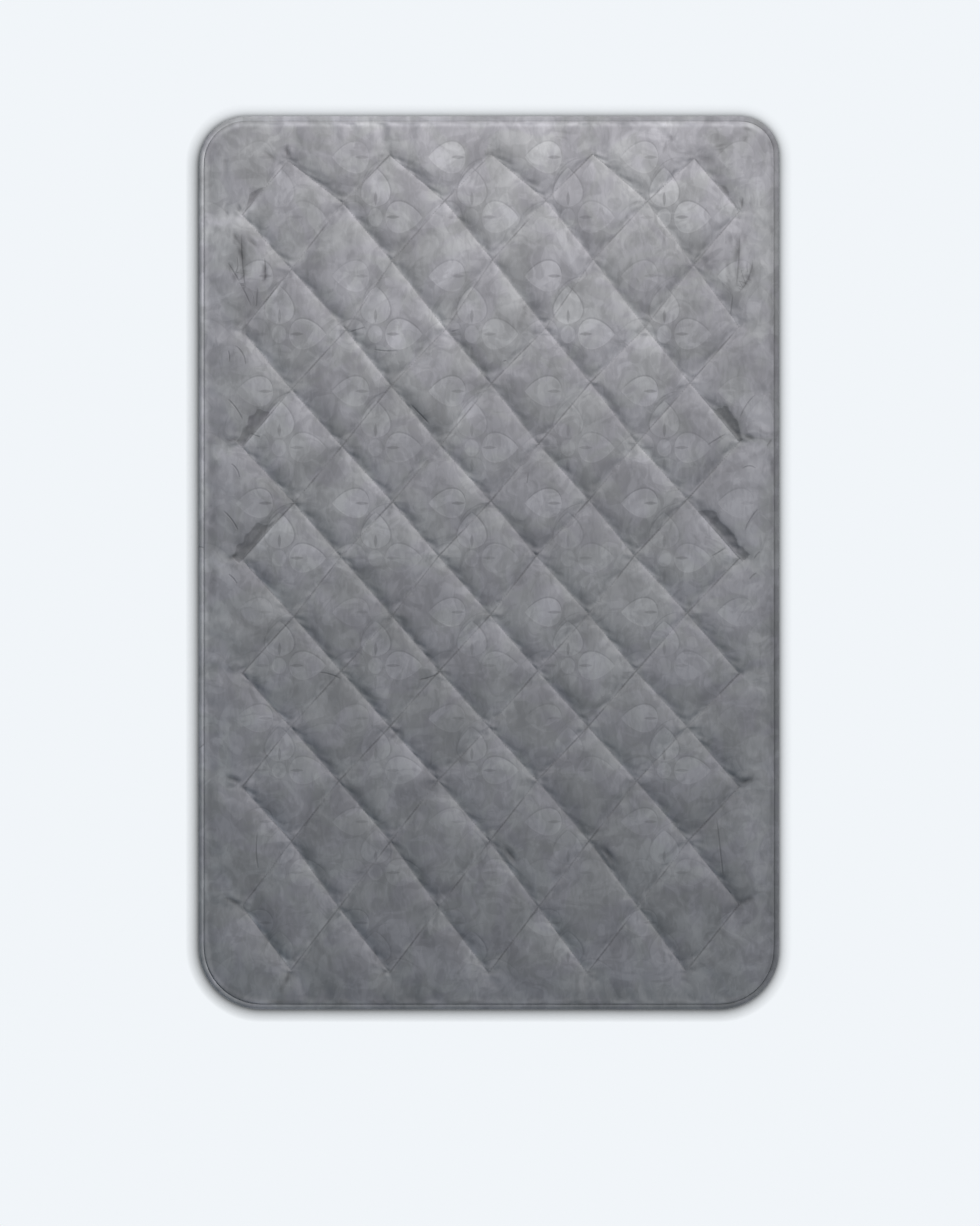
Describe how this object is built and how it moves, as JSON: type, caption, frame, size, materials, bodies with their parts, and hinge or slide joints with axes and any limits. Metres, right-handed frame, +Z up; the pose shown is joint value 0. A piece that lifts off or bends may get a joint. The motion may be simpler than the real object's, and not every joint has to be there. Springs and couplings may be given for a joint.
{
  "type": "duvet",
  "caption": "Single-bed duvet lying flat: a filled velvet pad quilted in diamonds inside a plain border, with rounded corners and a round piping sewn into its edge.",
  "frame": {"origin": "on the resting face, under the middle of the duvet", "axes": "+X across the width, +Y along the length to the head end, +Z up out of the face"},
  "size_m": [1.3, 2, 0.028],
  "materials": {
    "velvet": "grey short-pile velvet, embossed with flowers tone on tone",
    "piping_velvet": "grey short-pile velvet over a cord"
  },
  "bodies": {
    "root": {"quilt": "velvet", "piping": "piping_velvet"}
  },
  "joints": []
}
